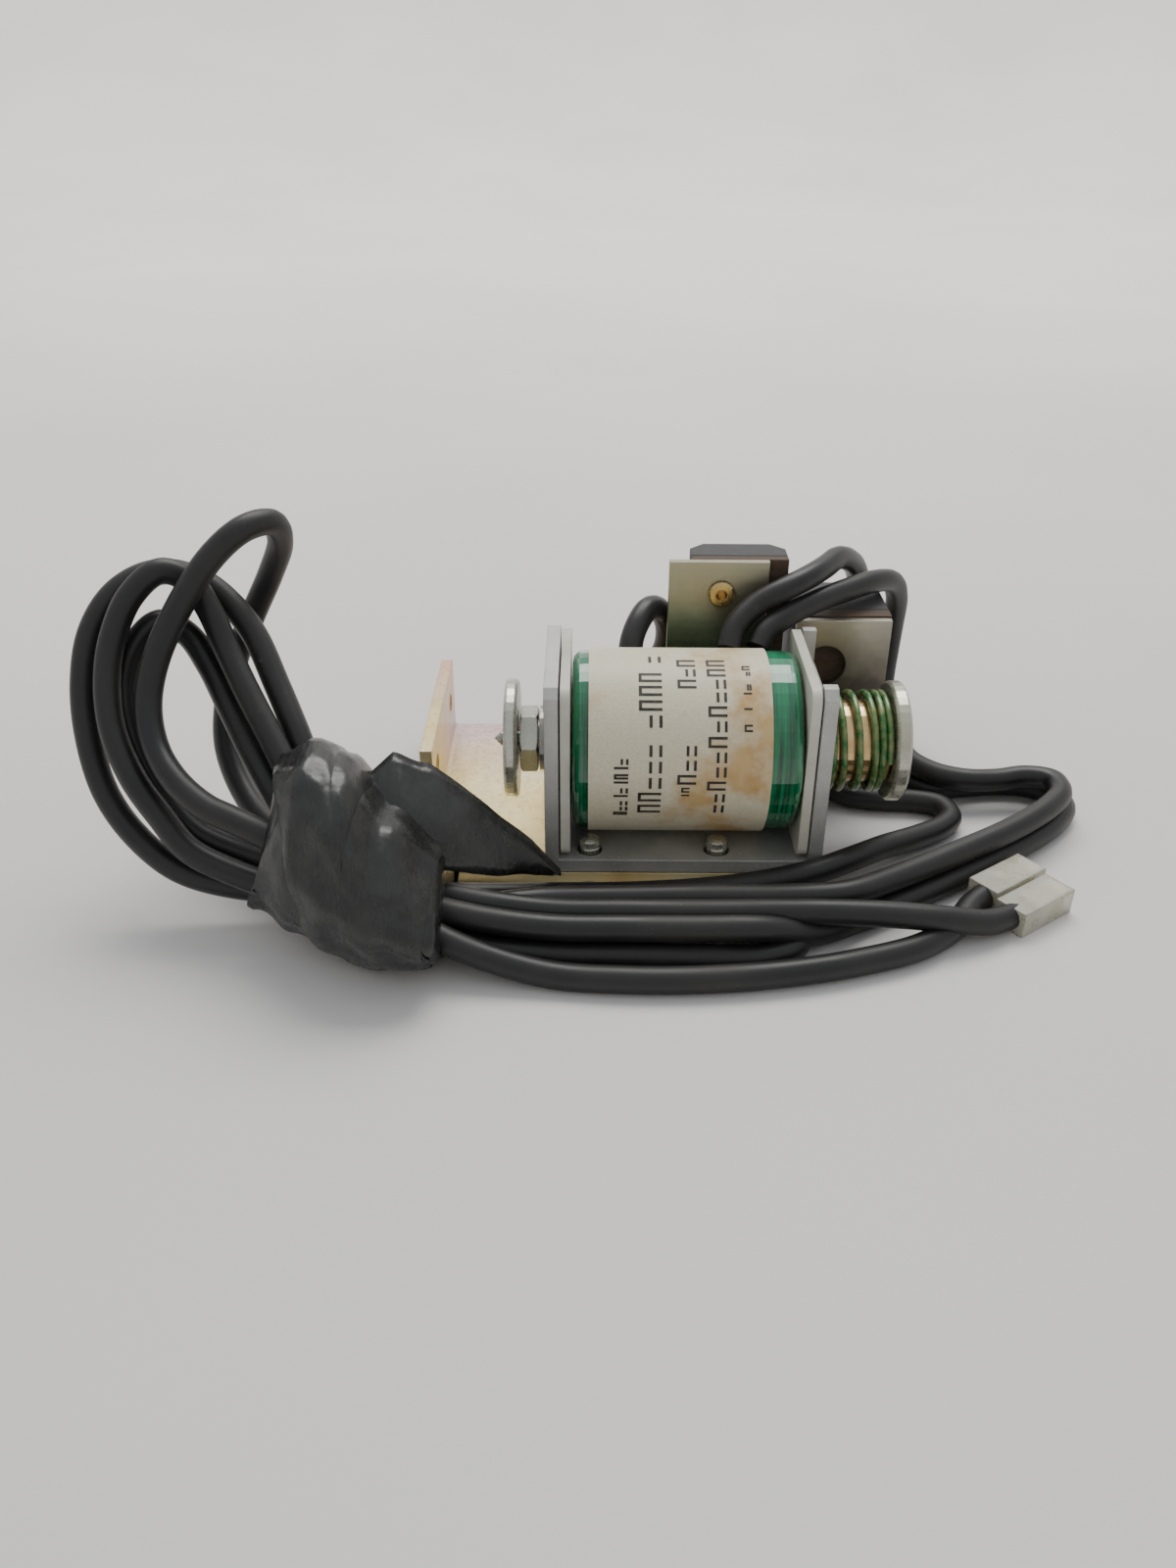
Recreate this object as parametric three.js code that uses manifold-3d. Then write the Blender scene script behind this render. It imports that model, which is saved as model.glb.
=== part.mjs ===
// Magnetic door lock: an open-frame solenoid on a bent bracket, with two magnet blocks and a taped hank
// of leads. Millimetres, +Z up. X runs along the plunger, Y runs from the front to the back.
// Inside the lock group, x = 0 is the outer face of the left end plate, y = 0 the front edge of the
// solenoid frame and z = 0 the underside of the bracket. The group is then centred on the origin.
import * as THREE from 'three';
import { mergeVertices } from 'three/addons/utils/BufferGeometryUtils.js';
import Module from 'manifold-3d';

const wasm = await Module();
wasm.setup();

// ---- driving dimensions ----
const GAP = 0.3;

const BRACKET = {
  thickness: 2.4, left: -25, right: 52, front: 0, back: 61,
  wingRight: 71, wingFront: 37, shoulderLeft: -19, flangeFront: 18, flangeTop: 18.5,
  bendRadius: 3.2, holeRadius: 2.5, holeSpacing: 27.5, holeHeight: 11.2,
};
const FRAME = {
  length: 52, depth: 31, thickness: 2.6, top: 40.4, earDepth: 3.5, notchDepth: 6.5, earChamfer: 1.7,
  leftHole: 4.3, rightHole: 9.1,
};
const AXIS = { y: FRAME.depth / 2, z: 22.9 };
const BASE_TOP = BRACKET.thickness + GAP + FRAME.thickness;
const SCREW = { radius: 2.1, headRadius: 3.9, headHeight: 1.9, rise: 3.0, fromFront: 3.8, xs: [8.4, 32.5] };
const FLANGE = { thickness: 1.8, cornerRadius: 2.5, top: 40.1 };
const BOBBIN_LEFT = FRAME.thickness + GAP;
const BOBBIN_RIGHT = FRAME.length - FRAME.thickness - GAP;
const COIL = {
  left: BOBBIN_LEFT + FLANGE.thickness + GAP, right: BOBBIN_RIGHT - FLANGE.thickness - GAP,
  barrelInner: 9.0, barrelOuter: 10.0, windingInner: 10.3, windingOuter: 14.3,
  wrapInner: 14.6, wrapOuter: 17.0, shoulder: 2.1,
};
const LABEL = { left: 8, right: 41, inner: 17.25, outer: 17.45, backAngle: 38, frontAngle: 166 };
const TUBE = { inner: 8.2, outer: 8.7 };
const STROKE = 5;
const CORE = { radius: 7.9, face: 20, studRadius: 3.9, studEnd: -4.9, bore: 1.8 };
const WASHER = { inner: 4.2, outer: 6.4, left: -1.2, right: -GAP };
const NUT = { acrossFlats: 11.1, left: -4.9, right: -1.5, bore: 4.2, chamfer: 0.7 };
const ROD = { radius: 1.5, right: 30, tipStart: -8.6, tip: -10 };
const STOP_DISC = { radius: 11.5, left: -7.7, right: -5.3, bore: 1.8, edge: 0.5 };
const PLUNGER = {
  radius: 7.9, left: CORE.face + STROKE + GAP, right: 64.4, bore: 1.8, boreEnd: 30.4,
  spigot: 3.5, end: 68.1,
};
const HEAD_DISC = { radius: 11.5, left: 64.7, right: 67.5, bore: 3.8, edge: 0.5 };
const SPRING = {
  meanRadius: 9.2, wire: 0.63, left: 53.0, right: 64.0, closedPitch: 1.32,
  leftTurns: 1, openTurns: 2.4, rightTurns: 2, stepsPerTurn: 16,
};
const PLATE = { front: 38.4, thickness: 1.6 };
const TALL = {
  plateLeft: 23.8, plateRight: 43.6, plateTop: 50.1, blockLeft: 28.3, blockRight: 47.6, blockTop: 50.0,
  spacer: 2.2, blockBack: 49.6, rearTop: 47.5, cornerChamfer: 2.9, rivetX: 34.3, rivetZ: 43.6,
};
const SHORT = {
  plateLeft: 50, plateRight: 69.2, plateTop: 37.9, blockLeft: 50, blockRight: 69.4, blockTop: 38.2,
  spacer: 3.4, blockBack: 59.1, rearTop: 36, cornerChamfer: 1, rivetX: 60.5, rivetZ: 12,
  windowX: 56.3, windowZ: 28, windowRadius: 4.4,
};
const RIVET = { shank: 1.7, hole: 2.0, head: 2.65, headHeight: 0.9, bore: 1.1 };
const FOOT_RIVET = { shank: 1.5, hole: 1.8, head: 2.5, sink: 1.0 };
const LEAD = { diameter: 4.8, sides: 8, stepLength: 7.3 };
const TERMINAL = { width: 6.4, height: 5, length: 14, wall: 0.9, wireLength: 5, contactLength: 7 };

// Each lead's run from the coil to the hank, as points on its centreline, chosen by hand.
const LEAD_RUNS = {
  lead_a_run: [
    [41, 28.6, 36.2], [42.6, 30.8, 38.6], [47, 34, 40.8], [53.2, 38.6, 42], [60, 44, 42.2], [66.6, 49.6, 42],
    [72.2, 55.6, 39.8], [75, 60.6, 34.4], [75.8, 64, 27], [75.8, 65, 20], [75.3, 63.6, 13], [74.9, 59, 8.8],
    [74.7, 53, 7.6], [74.7, 46, 7.5], [75.1, 40, 7.4],
  ],
  lead_b_run: [
    [16, 29.7, 33.6], [16.6, 32.4, 36.6], [18, 35.4, 39], [19.8, 39, 40], [22, 43.4, 38.4], [24, 46.6, 34],
    [24.2, 49, 28], [21.8, 50.6, 21.5], [18.6, 50, 14.5], [16.8, 47.4, 8.6], [17, 43, 5.6], [18.8, 38.6, 5.2],
    [23.4, 35.6, 5.2], [30, 34.7, 5.2], [38, 34.7, 5.2], [46, 34.5, 5.2], [51.8, 34.1, 5.1],
  ],
  lead_c_run: [
    [35.4, 28.4, 36], [36.6, 31.2, 39.4], [40.6, 34.2, 42.8], [46.4, 35.8, 45.6], [51.6, 39.6, 46.8],
    [55.8, 45, 47], [59, 50.4, 46.8], [62.4, 56, 44.6], [65.6, 61.6, 40.4], [67.8, 65.6, 33.4], [68, 66.8, 26],
    [68.2, 66.6, 18], [70.2, 65.4, 10], [73, 62, 4.2], [74.2, 57, 2.5], [74.5, 51, 2.5], [74.5, 46, 2.5],
    [74.9, 40, 2.5],
  ],
};
// Outlines of the hank: the standing loops on the left, seen from the front, and the flat ones on the right.
const LEFT_LOOPS = {
  outer: [[-44, 16], [-40, 30], [-40, 38], [-44, 50], [-45, 64], [-49, 72], [-58, 71], [-69, 64], [-80, 57],
    [-86, 43], [-85, 26], [-78, 10], [-68, 5.8], [-48, 6]],
  hole: [[-62, 20], [-67, 25], [-69, 33], [-68, 41], [-63, 46], [-58, 43], [-56, 32]],
  outerSteps: 42, holeSteps: 21, thickness: 15, lean: 30, middle: -14, overTape: 36.5, right: -30,
  reach: { left: -100, side: 60, top: 90 },
};
const RIGHT_LOOPS = {
  outer: [[-16, -33.6], [8, -35], [38, -34.4], [58, -29], [71, -21.5], [77, -13], [77.2, -5], [86, 1.4], [104, 15],
    [109, 23], [109, 31.5], [102.5, 37.2], [90, 37.6], [80, 37.2], [79, 39.7], [71.6, 39.7], [71.6, 36.7],
    [52.3, 36.7], [52.3, 30], [62, 25], [70, 14], [58, 3.4], [53, -0.5], [-16, -0.6]],
  hole: [[55, -19.5], [68, -11], [71.5, -13], [62, -20.5]],
  bottom: 0.05, height: 9.8,
};
// Cross-sections of the tape, from the left end to the right: half its width and half its height.
const TAPE = {
  sections: [
    { x: -54.5, y: -13.5, depth: 13, height: 17.5 },
    { x: -34.1, y: -17.5, depth: 16.5, height: 15 },
    { x: -16.4, y: -17.5, depth: 16.8, height: 9 },
  ],
  swell: 0.06, rings: 4, sides: 20, bottom: 0.1,
};
const FLAP = {
  thickness: 0.8, y: -4,
  points: [[-15.9, 9.9], [3.4, 9.9], [2, 12], [-14, 22], [-23, 26.5], [-24.5, 23], [-20, 19.5], [-15.9, 16]],
};
const TERMINALS = [
  { name: 'a', x: 80.6, y: -7.2, turn: 36 },
  { name: 'b', x: 83.8, y: -14, turn: 36 },
  { name: 'c', x: -40, y: 3, turn: 97 },
];

// ---- colours ----
const COLOUR = {
  yellowZinc: 0xcdbf86, zinc: 0x8f8d85, darkSteel: 0x6d6a63, nylon: 0xcfcdb8, green: 0x1c6a47,
  copper: 0x9a5a34, paper: 0xd8cba2, brass: 0xb08d4a, springGreen: 0x5c7d47, olive: 0x6f6c54,
  taupe: 0x6e675c, ferrite: 0x2c2b2b, fibre: 0x3d2f25, blackPvc: 0x26262a, tape: 0x202225, white: 0xddd9cd,
};

const finish = (color, roughness, metalness) => new THREE.MeshStandardMaterial({ color, roughness, metalness });
const lock = new THREE.Group();

// ---- geometry helpers ----
function merged(geometry) {
  const bare = geometry.clone();
  bare.deleteAttribute('normal');
  bare.deleteAttribute('uv');
  return mergeVertices(bare.index ? bare.toNonIndexed() : bare, 1e-4);
}

function signedVolume(geometry) {
  const position = geometry.getAttribute('position');
  const index = geometry.index;
  const [a, b, c] = [new THREE.Vector3(), new THREE.Vector3(), new THREE.Vector3()];
  let volume = 0;
  for (let i = 0; i < index.count; i += 3) {
    a.fromBufferAttribute(position, index.getX(i));
    b.fromBufferAttribute(position, index.getX(i + 1));
    c.fromBufferAttribute(position, index.getX(i + 2));
    volume += a.dot(b.cross(c)) / 6;
  }
  return volume;
}

// The closed solid of a geometry, with its faces turned outwards.
function solid(geometry) {
  const mesh = merged(geometry);
  const triangles = Array.from(mesh.index.array);
  if (signedVolume(mesh) < 0) {
    triangles.reverse();
  }
  return new wasm.Manifold(new wasm.Mesh({
    numProp: 3,
    vertProperties: new Float32Array(mesh.getAttribute('position').array),
    triVerts: new Uint32Array(triangles),
  }));
}

function geometryOf(manifold) {
  const mesh = manifold.getMesh();
  const geometry = new THREE.BufferGeometry();
  geometry.setAttribute('position', new THREE.BufferAttribute(mesh.vertProperties, 3));
  geometry.setIndex(new THREE.BufferAttribute(mesh.triVerts, 1));
  geometry.computeVertexNormals();
  return geometry;
}

function add(name, manifold, material) {
  const mesh = new THREE.Mesh(geometryOf(manifold), material);
  mesh.name = name;
  lock.add(mesh);
}

function subtractAll(body, tools) {
  return tools.reduce((rest, tool) => rest.subtract(tool), body);
}

function box(x0, x1, y0, y1, z0, z1) {
  const geometry = new THREE.BoxGeometry(x1 - x0, y1 - y0, z1 - z0);
  geometry.translate((x0 + x1) / 2, (y0 + y1) / 2, (z0 + z1) / 2);
  return solid(geometry);
}

// A turned solid: profile points are [distance along the axis, radius], the axis runs along +X.
function turned(profile, segments) {
  const geometry = new THREE.LatheGeometry(profile.map(([x, r]) => new THREE.Vector2(r, x)), segments);
  geometry.rotateZ(-Math.PI / 2);
  return geometry;
}

// A turned solid on the plunger axis.
function onAxis(profile, segments = 40) {
  return solid(turned(profile, segments).translate(0, AXIS.y, AXIS.z));
}

const ringProfile = (x0, x1, inner, outer) => [[x0, inner], [x1, inner], [x1, outer], [x0, outer], [x0, inner]];
const rodProfile = (x0, x1, radius) => [[x0, 0], [x0, radius], [x1, radius], [x1, 0]];

function discProfile(x0, x1, inner, outer, edge) {
  return [[x0, inner], [x1, inner], [x1, outer - edge], [x1 - edge, outer], [x0 + edge, outer],
    [x0, outer - edge], [x0, inner]];
}

// Cylinders along Y and Z, used as rivets and as cutters.
function alongY(profile, x, z, segments = 20) {
  return solid(turned(profile, segments).rotateZ(Math.PI / 2).translate(x, 0, z));
}

function alongZ(profile, x, y, segments = 20) {
  return solid(turned(profile, segments).rotateY(-Math.PI / 2).translate(x, y, 0));
}

function roundedRectangle(x0, x1, y0, y1, radius) {
  const shape = new THREE.Shape();
  shape.moveTo(x0 + radius, y0);
  shape.absarc(x1 - radius, y0 + radius, radius, -Math.PI / 2, 0);
  shape.absarc(x1 - radius, y1 - radius, radius, 0, Math.PI / 2);
  shape.absarc(x0 + radius, y1 - radius, radius, Math.PI / 2, Math.PI);
  shape.absarc(x0 + radius, y0 + radius, radius, Math.PI, Math.PI * 1.5);
  return shape;
}

function polygon(points) {
  return new THREE.Shape(points.map(([x, y]) => new THREE.Vector2(x, y)));
}

// An outline in XY pushed up from z0 to z1.
function upright(shape, z0, z1, curveSegments = 4) {
  const geometry = new THREE.ExtrudeGeometry(shape, { depth: z1 - z0, bevelEnabled: false, curveSegments });
  return solid(geometry.translate(0, 0, z0));
}

// An outline in YZ pushed along X from x0 to x1.
function alongX(shape, x0, x1, curveSegments = 4) {
  const geometry = new THREE.ExtrudeGeometry(shape, { depth: x1 - x0, bevelEnabled: false, curveSegments });
  geometry.rotateX(Math.PI / 2);
  geometry.rotateZ(Math.PI / 2);
  return solid(geometry.translate(x0, 0, 0));
}

// An outline in XZ pushed along Y from y0 to y1.
function sideways(shape, y0, y1, curveSegments = 4) {
  const geometry = new THREE.ExtrudeGeometry(shape, { depth: y1 - y0, bevelEnabled: false, curveSegments });
  geometry.rotateX(Math.PI / 2);
  return solid(geometry.translate(0, y1, 0));
}

// ---- mounting bracket ----
function screwPlaces() {
  const ys = [SCREW.fromFront, FRAME.depth - SCREW.fromFront];
  return ys.flatMap((y) => SCREW.xs.map((x) => [x, y]));
}

function footRivetPlaces() {
  const y = (PLATE.front + TALL.blockBack) / 2;
  return [TALL, SHORT].flatMap((part) => {
    const middle = (part.blockLeft + part.blockRight) / 2;
    return [[middle - 5, y], [middle + 5, y]];
  });
}

function mountingBracket() {
  const b = BRACKET;
  const outline = polygon([
    [b.shoulderLeft, b.front], [b.right, b.front], [b.right, b.wingFront], [b.wingRight, b.wingFront],
    [b.wingRight, b.back], [b.left + b.thickness, b.back], [b.left + b.thickness, b.flangeFront],
    [b.shoulderLeft, b.flangeFront - 2],
  ]);
  const plate = upright(outline, 0, b.thickness);
  const { bendRadius } = b;
  const flange = new THREE.Shape();
  flange.moveTo(b.left + 8, 0);
  flange.lineTo(b.left + 8, b.thickness);
  flange.lineTo(b.left + bendRadius, b.thickness);
  flange.absarc(b.left + bendRadius, bendRadius, bendRadius - b.thickness, Math.PI * 1.5, Math.PI, true);
  flange.lineTo(b.left + b.thickness, b.flangeTop);
  flange.lineTo(b.left, b.flangeTop);
  flange.lineTo(b.left, bendRadius);
  flange.absarc(b.left + bendRadius, bendRadius, bendRadius, Math.PI, Math.PI * 1.5);
  const upturn = sideways(flange, b.flangeFront, b.back);
  const flangeMiddle = (b.flangeFront + b.back) / 2;
  const holes = [-1, 1].map((side) => {
    const bore = turned(rodProfile(b.left - 1, b.left + b.thickness + 1, b.holeRadius), 24);
    return solid(bore.translate(0, flangeMiddle + side * b.holeSpacing / 2, b.holeHeight));
  });
  const headSeat = [[-1, 0], [-1, SCREW.headRadius + GAP], [0, SCREW.headRadius + GAP],
    [SCREW.headHeight, SCREW.radius + GAP], [b.thickness + 1, SCREW.radius + GAP], [b.thickness + 1, 0]];
  const screwHoles = screwPlaces().map(([x, y]) => alongZ(headSeat, x, y));
  const rivetSeat = [[-1, 0], [-1, FOOT_RIVET.head + GAP], [0, FOOT_RIVET.head + GAP],
    [FOOT_RIVET.sink, FOOT_RIVET.hole], [b.thickness + 1, FOOT_RIVET.hole], [b.thickness + 1, 0]];
  const rivetHoles = footRivetPlaces().map(([x, y]) => alongZ(rivetSeat, x, y, 16));
  add('mounting_bracket', subtractAll(plate.add(upturn), [...holes, ...screwHoles, ...rivetHoles]),
    finish(COLOUR.yellowZinc, 0.35, 0.8));
}

// ---- solenoid frame and its screws ----
function solenoidFrame() {
  const f = FRAME;
  const bottom = BRACKET.thickness + GAP;
  const bend = 1.6;
  const profile = new THREE.Shape();
  profile.moveTo(bend, bottom);
  profile.lineTo(f.length - bend, bottom);
  profile.absarc(f.length - bend, bottom + bend, bend, Math.PI * 1.5, Math.PI * 2);
  profile.lineTo(f.length, f.top);
  profile.lineTo(f.length - f.thickness, f.top);
  profile.lineTo(f.length - f.thickness, BASE_TOP);
  profile.lineTo(f.thickness, BASE_TOP);
  profile.lineTo(f.thickness, f.top);
  profile.lineTo(0, f.top);
  profile.lineTo(0, bottom + bend);
  profile.absarc(bend, bottom + bend, bend, Math.PI, Math.PI * 1.5);
  const strip = sideways(profile, 0, f.depth);
  const notch = box(f.length - f.thickness - 1, f.length + 1, f.earDepth, f.depth - f.earDepth,
    f.top - f.notchDepth, f.top + 1);
  const corners = [[0, 1], [f.depth, -1]].map(([y, inward]) => alongX(polygon([
    [y - inward, f.top + 1], [y - inward, f.top - f.earChamfer - 1], [y + inward * (f.earChamfer + 1), f.top + 1],
  ]), -1, f.length + 1));
  const holes = [
    onAxis(rodProfile(-1, f.thickness + 1, f.leftHole), 32),
    onAxis(rodProfile(f.length - f.thickness - 1, f.length + 1, f.rightHole), 40),
    ...screwPlaces().map(([x, y]) => alongZ(rodProfile(bottom - 1, BASE_TOP + 1, SCREW.radius + GAP), x, y)),
  ];
  add('solenoid_frame', subtractAll(strip, [notch, ...corners, ...holes]), finish(COLOUR.zinc, 0.5, 0.7));
}

function frameScrews() {
  const top = BASE_TOP + SCREW.rise;
  const profile = [[0, 0], [0, SCREW.headRadius], [SCREW.headHeight, SCREW.radius]];
  const crest = 0.7;
  for (let x = BASE_TOP + 0.4; x + crest < top - 0.8; x += crest) {
    profile.push([x, SCREW.radius - 0.2], [x + crest / 2, SCREW.radius]);
  }
  profile.push([top - 0.6, SCREW.radius - 0.2], [top - 0.15, SCREW.radius - 0.9], [top, 0]);
  screwPlaces().forEach(([x, y], i) => {
    add(`frame_screw_${i + 1}`, alongZ(profile, x, y, 12), finish(COLOUR.zinc, 0.35, 0.9));
  });
}

// ---- coil ----
function coilBobbin() {
  const outline = () => roundedRectangle(0.2, FRAME.depth - 0.2, BASE_TOP + GAP, FLANGE.top, FLANGE.cornerRadius);
  const left = alongX(outline(), BOBBIN_LEFT, BOBBIN_LEFT + FLANGE.thickness, 5);
  const right = alongX(outline(), BOBBIN_RIGHT - FLANGE.thickness, BOBBIN_RIGHT, 5);
  const barrel = onAxis(rodProfile(BOBBIN_LEFT + 0.5, BOBBIN_RIGHT - 0.5, COIL.barrelOuter));
  const bore = onAxis(rodProfile(BOBBIN_LEFT - 1, BOBBIN_RIGHT + 1, COIL.barrelInner));
  const screwRelief = screwPlaces().map(([x, y]) => alongZ(
    rodProfile(BASE_TOP, BASE_TOP + SCREW.rise + GAP, SCREW.radius + GAP), x, y));
  add('coil_bobbin', subtractAll(left.add(right).add(barrel), [bore, ...screwRelief]),
    finish(COLOUR.nylon, 0.45, 0));
}

function coilWindings() {
  add('coil_winding', onAxis(ringProfile(COIL.left, COIL.right, COIL.windingInner, COIL.windingOuter)),
    finish(COLOUR.copper, 0.4, 0.6));
  const s = COIL.shoulder;
  const shoulder = (x, from) => [0, 1, 2, 3, 4].map((i) => {
    const angle = from + (i / 4) * (Math.PI / 2);
    return [x + s * Math.cos(angle), COIL.wrapOuter - s + s * Math.sin(angle)];
  });
  const profile = [
    [COIL.left, COIL.wrapInner], [COIL.right, COIL.wrapInner],
    ...shoulder(COIL.right - s, 0), ...shoulder(COIL.left + s, Math.PI / 2), [COIL.left, COIL.wrapInner],
  ];
  add('coil_outer_wrap', onAxis(profile, 44), finish(COLOUR.green, 0.25, 0));
}

// The paper label covers the top and front of the wrap. Angles are in degrees from straight up.
function coilLabel() {
  const toAngle = (degrees) => Math.PI / 2 + THREE.MathUtils.degToRad(degrees);
  const start = toAngle(-LABEL.backAngle);
  const end = toAngle(LABEL.frontAngle);
  const shape = new THREE.Shape();
  shape.absarc(AXIS.y, AXIS.z, LABEL.outer, start, end);
  shape.absarc(AXIS.y, AXIS.z, LABEL.inner, end, start, true);
  add('coil_label', alongX(shape, LABEL.left, LABEL.right, 36), finish(COLOUR.paper, 0.8, 0));
}

// ---- fixed core, washer and nut ----
function coreGroup() {
  add('plunger_guide_tube', onAxis(ringProfile(BOBBIN_LEFT, FRAME.length, TUBE.inner, TUBE.outer)),
    finish(COLOUR.brass, 0.3, 0.9));
  add('fixed_core', onAxis([
    [CORE.studEnd, CORE.bore], [CORE.face, CORE.bore], [CORE.face, CORE.radius], [BOBBIN_LEFT, CORE.radius],
    [BOBBIN_LEFT, CORE.studRadius], [CORE.studEnd, CORE.studRadius], [CORE.studEnd, CORE.bore],
  ]), finish(COLOUR.darkSteel, 0.35, 0.9));
  add('core_lock_washer', onAxis(ringProfile(WASHER.left, WASHER.right, WASHER.inner, WASHER.outer), 28),
    finish(COLOUR.darkSteel, 0.4, 0.9));
  const cornerRadius = NUT.acrossFlats / Math.sqrt(3);
  const hexagon = polygon([0, 1, 2, 3, 4, 5].map((i) => {
    const angle = (i * Math.PI) / 3 - THREE.MathUtils.degToRad(8);
    return [AXIS.y + cornerRadius * Math.cos(angle), AXIS.z + cornerRadius * Math.sin(angle)];
  }));
  const prism = alongX(hexagon, NUT.left, NUT.right);
  const crown = onAxis([[NUT.left, 0], [NUT.left, cornerRadius - NUT.chamfer], [NUT.left + NUT.chamfer / 2,
    cornerRadius + 0.1], [NUT.right - NUT.chamfer / 2, cornerRadius + 0.1],
  [NUT.right, cornerRadius - NUT.chamfer], [NUT.right, 0]], 36);
  const bore = onAxis(rodProfile(NUT.left - 1, NUT.right + 1, NUT.bore), 28);
  add('core_hex_nut', prism.intersect(crown).subtract(bore), finish(COLOUR.zinc, 0.3, 0.9));
}

// ---- plunger, its discs, its rod and its spring ----
function slidingGroup() {
  add('push_rod', onAxis([[ROD.tip, 0], [ROD.tipStart, ROD.radius], [ROD.right, ROD.radius], [ROD.right, 0]], 16),
    finish(COLOUR.darkSteel, 0.35, 0.9));
  add('stop_disc', onAxis(discProfile(STOP_DISC.left, STOP_DISC.right, STOP_DISC.bore, STOP_DISC.radius,
    STOP_DISC.edge)), finish(COLOUR.zinc, 0.35, 0.9));
  add('plunger', onAxis([
    [PLUNGER.left, PLUNGER.bore], [PLUNGER.left, PLUNGER.radius], [PLUNGER.right, PLUNGER.radius],
    [PLUNGER.right, PLUNGER.spigot], [PLUNGER.end - 0.4, PLUNGER.spigot], [PLUNGER.end, PLUNGER.spigot - 0.4],
    [PLUNGER.end, 0], [PLUNGER.boreEnd, 0], [PLUNGER.boreEnd, PLUNGER.bore], [PLUNGER.left, PLUNGER.bore],
  ]), finish(COLOUR.yellowZinc, 0.25, 0.9));
  add('head_disc', onAxis(discProfile(HEAD_DISC.left, HEAD_DISC.right, HEAD_DISC.bore, HEAD_DISC.radius,
    HEAD_DISC.edge)), finish(COLOUR.zinc, 0.35, 0.9));
}

function springPoint(turn) {
  const s = SPRING;
  const total = s.leftTurns + s.openTurns + s.rightTurns;
  const openPitch = (s.right - s.left - (s.leftTurns + s.rightTurns) * s.closedPitch) / s.openTurns;
  const open = Math.min(Math.max(turn - s.leftTurns, 0), s.openTurns);
  const x = s.left + (turn - open) * s.closedPitch + open * openPitch;
  const angle = Math.PI + (turn - total) * Math.PI * 2;
  return new THREE.Vector3(x, AXIS.y + s.meanRadius * Math.cos(angle), AXIS.z + s.meanRadius * Math.sin(angle));
}

function returnSpring() {
  const turns = SPRING.leftTurns + SPRING.openTurns + SPRING.rightTurns;
  const steps = Math.round(turns * SPRING.stepsPerTurn);
  const points = Array.from({ length: steps + 1 }, (_, i) => springPoint((turns * i) / steps));
  const curve = new THREE.CatmullRomCurve3(points);
  const section = polygon([0, 1, 2, 3, 4, 5].map((i) => [
    SPRING.wire * Math.cos((i * Math.PI) / 3), SPRING.wire * Math.sin((i * Math.PI) / 3)]));
  const geometry = new THREE.ExtrudeGeometry(section, { steps, extrudePath: curve, bevelEnabled: false });
  add('return_spring', solid(geometry), finish(COLOUR.springGreen, 0.4, 0.3));
}

// ---- magnet blocks between their pole plates ----
function magnetStack(prefix, part, plateColour) {
  const plateBack = PLATE.front + PLATE.thickness;
  const footTop = BRACKET.thickness + GAP + PLATE.thickness;
  const blockFront = plateBack + 2 * GAP + part.spacer;
  const rearFront = part.blockBack + GAP;
  const rearBack = rearFront + PLATE.thickness;
  const bottom = BRACKET.thickness + GAP;
  const hole = alongY(rodProfile(PLATE.front - 1, rearBack + 1, RIVET.hole), part.rivetX, part.rivetZ, 16);
  const footHoles = footRivetPlaces().map(([x, y]) => alongZ([
    [bottom - 1, 0], [bottom - 1, FOOT_RIVET.hole], [footTop - FOOT_RIVET.sink, FOOT_RIVET.hole],
    [footTop, FOOT_RIVET.head + GAP], [footTop + 1, FOOT_RIVET.head + GAP], [footTop + 1, 0]], x, y, 16));

  const angle = new THREE.Shape();
  const bend = 1.2;
  angle.moveTo(PLATE.front, part.plateTop);
  angle.lineTo(PLATE.front, bottom + bend);
  angle.absarc(PLATE.front + bend, bottom + bend, bend, Math.PI, Math.PI * 1.5);
  angle.lineTo(part.blockBack, bottom);
  angle.lineTo(part.blockBack, footTop);
  angle.lineTo(plateBack, footTop);
  angle.lineTo(plateBack, part.plateTop);
  const cuts = [hole, ...footHoles];
  if (part.windowRadius) {
    cuts.push(alongY(rodProfile(PLATE.front - 1, plateBack + 1, part.windowRadius), part.windowX, part.windowZ, 28));
  }
  add(`${prefix}_front_pole_plate`, subtractAll(alongX(angle, part.plateLeft, part.plateRight), cuts),
    finish(plateColour, 0.5, 0.7));

  const spacer = box(part.blockLeft, part.blockRight, plateBack + GAP, blockFront - GAP, footTop + GAP, part.blockTop);
  add(`${prefix}_insulating_spacer`, spacer.subtract(hole), finish(COLOUR.fibre, 0.7, 0));

  const c = part.cornerChamfer;
  const plan = polygon([[part.blockLeft, blockFront], [part.blockRight, blockFront],
    [part.blockRight, part.blockBack - c], [part.blockRight - c, part.blockBack],
    [part.blockLeft + c, part.blockBack], [part.blockLeft, part.blockBack - c]]);
  add(`${prefix}_magnet_block`, upright(plan, footTop + GAP, part.blockTop).subtract(hole),
    finish(COLOUR.ferrite, 0.8, 0));

  const rear = box(part.blockLeft + 1, part.blockRight - 1, rearFront, rearBack, bottom, part.rearTop);
  add(`${prefix}_rear_pole_plate`, rear.subtract(hole), finish(COLOUR.zinc, 0.5, 0.7));

  const r = RIVET;
  const front = PLATE.front - GAP;
  const back = rearBack + GAP;
  add(`${prefix}_tubular_rivet`, alongY([
    [front - r.headHeight, r.bore], [back + r.headHeight, r.bore], [back + r.headHeight, r.head - 0.4],
    [back + r.headHeight / 2, r.head], [back, r.head], [back, r.shank], [front, r.shank], [front, r.head],
    [front - r.headHeight / 2, r.head], [front - r.headHeight, r.head - 0.4], [front - r.headHeight, r.bore],
  ], part.rivetX, part.rivetZ, 20), finish(COLOUR.brass, 0.35, 0.9));
}

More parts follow.
